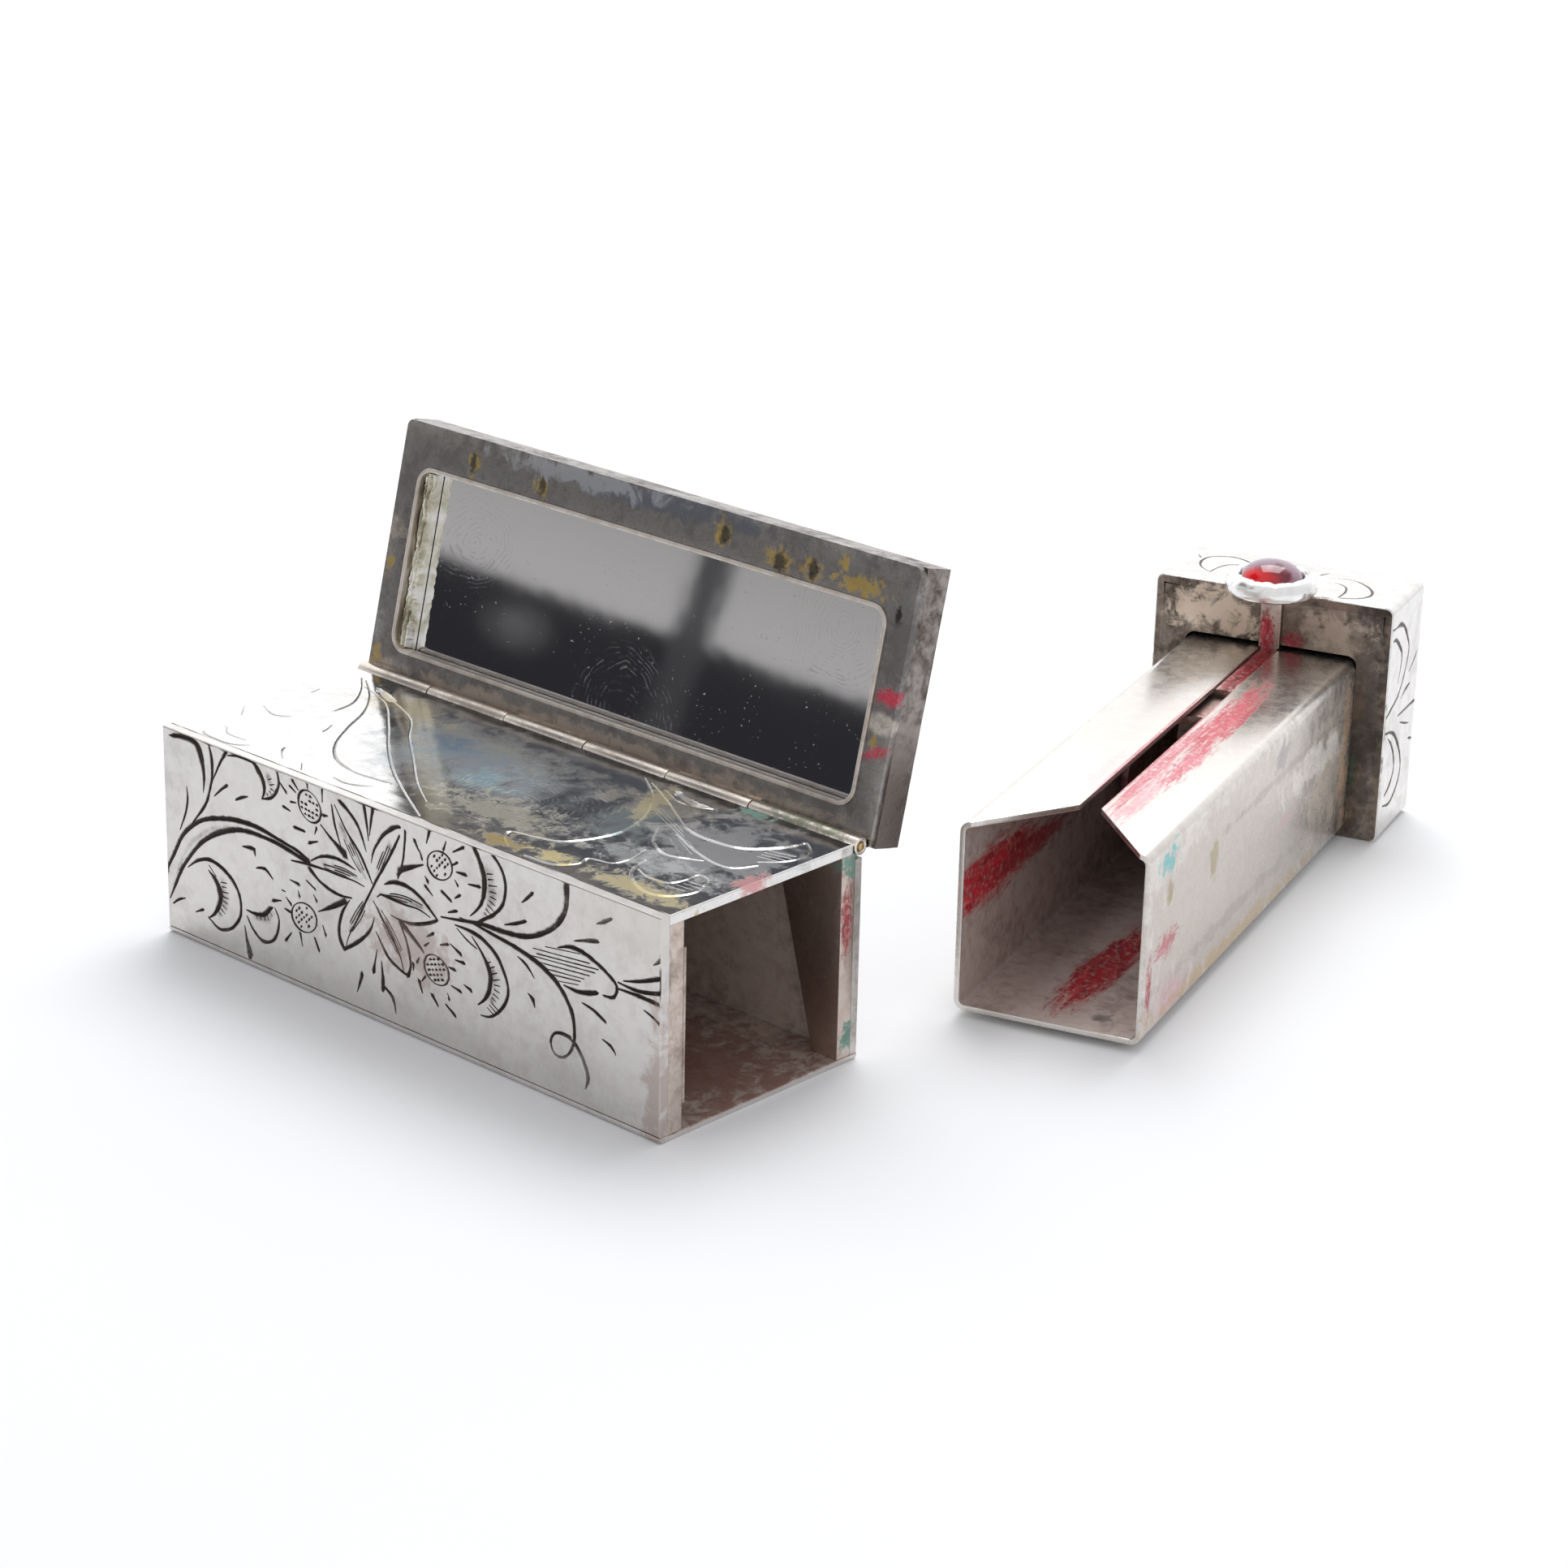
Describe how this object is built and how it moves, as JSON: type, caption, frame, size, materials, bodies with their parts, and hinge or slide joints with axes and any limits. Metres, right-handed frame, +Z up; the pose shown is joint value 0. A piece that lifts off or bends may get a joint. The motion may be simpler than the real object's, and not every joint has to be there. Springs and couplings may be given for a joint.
{
  "type": "lipstick case",
  "caption": "Square engraved metal lipstick case laid open in two halves: a sheath with a hinged mirror lid, and a slotted tube in a cap with a stone-topped slider.",
  "frame": {"origin": "centre of the sheath's base, on the surface it rests on", "axes": "+X along the sheath to its open mouth, +Y to the hinge side, +Z up"},
  "size_m": [0.069, 0.0936, 0.0371],
  "materials": {
    "engraved_silver": "satin worn silver with dark engraved lines",
    "polished_silver": "bright polished silver with light tarnish",
    "tarnished_silver": "dull brown-grey tarnished silver",
    "pin_wire": "drawn brass wire",
    "mirror": "silvered glass",
    "foil": "crumpled foil",
    "red_stone": "polished translucent red"
  },
  "bodies": {
    "sheath": {"sheath_front_panel": "engraved_silver", "sheath_back_panel": "engraved_silver", "sheath_top_panel": "polished_silver", "sheath_bottom_panel": "tarnished_silver", "sheath_end_panel": "tarnished_silver", "front_guide_pad": "tarnished_silver", "back_guide_pad": "tarnished_silver", "hinge_bearer": "tarnished_silver", "sheath_knuckle_1": "polished_silver", "sheath_knuckle_2": "polished_silver", "sheath_knuckle_3": "polished_silver", "hinge_pin": "pin_wire"},
    "lid": {"lid_tray": "engraved_silver", "lid_frame": "tarnished_silver", "lid_lip": "tarnished_silver", "mirror_glass": "mirror", "mirror_backing": "foil", "lid_knuckle_1": "polished_silver", "lid_knuckle_2": "polished_silver", "lid_knuckle_3": "polished_silver"},
    "leaf": {"mouth_spring_leaf": "tarnished_silver"},
    "slider": {"slider_strip": "tarnished_silver", "slider_bezel": "polished_silver", "slider_cabochon": "red_stone", "refill_cup": "tarnished_silver", "cup_front_guide": "tarnished_silver", "cup_rear_guide": "tarnished_silver"},
    "tube": {"tube_body": "tarnished_silver", "cap_band": "engraved_silver", "cap_front_plate": "tarnished_silver", "cap_end_plate": "tarnished_silver"}
  },
  "joints": [
    {"name": "lid_hinge", "type": "hinge", "parent": "sheath", "child": "lid", "pos_m": [0, 0.01035, 0.01695], "axis": [1, 0, 0], "range_deg": [0, 103.5]},
    {"name": "tube_slide", "type": "slide", "parent": "sheath", "child": "leaf", "axis": [-1, 0, 0], "range_m": [0, 0.04955]},
    {"name": "tube_turn", "type": "hinge", "parent": "leaf", "child": "slider", "pos_m": [0.02231, 0.01438, 0], "axis": [0, 0, -1], "range_deg": [0, 107.55]},
    {"name": "lipstick_slide", "type": "slide", "parent": "slider", "child": "tube", "axis": [0.3015, -0.9535, 0], "range_m": [-0.033, 0]}
  ]
}
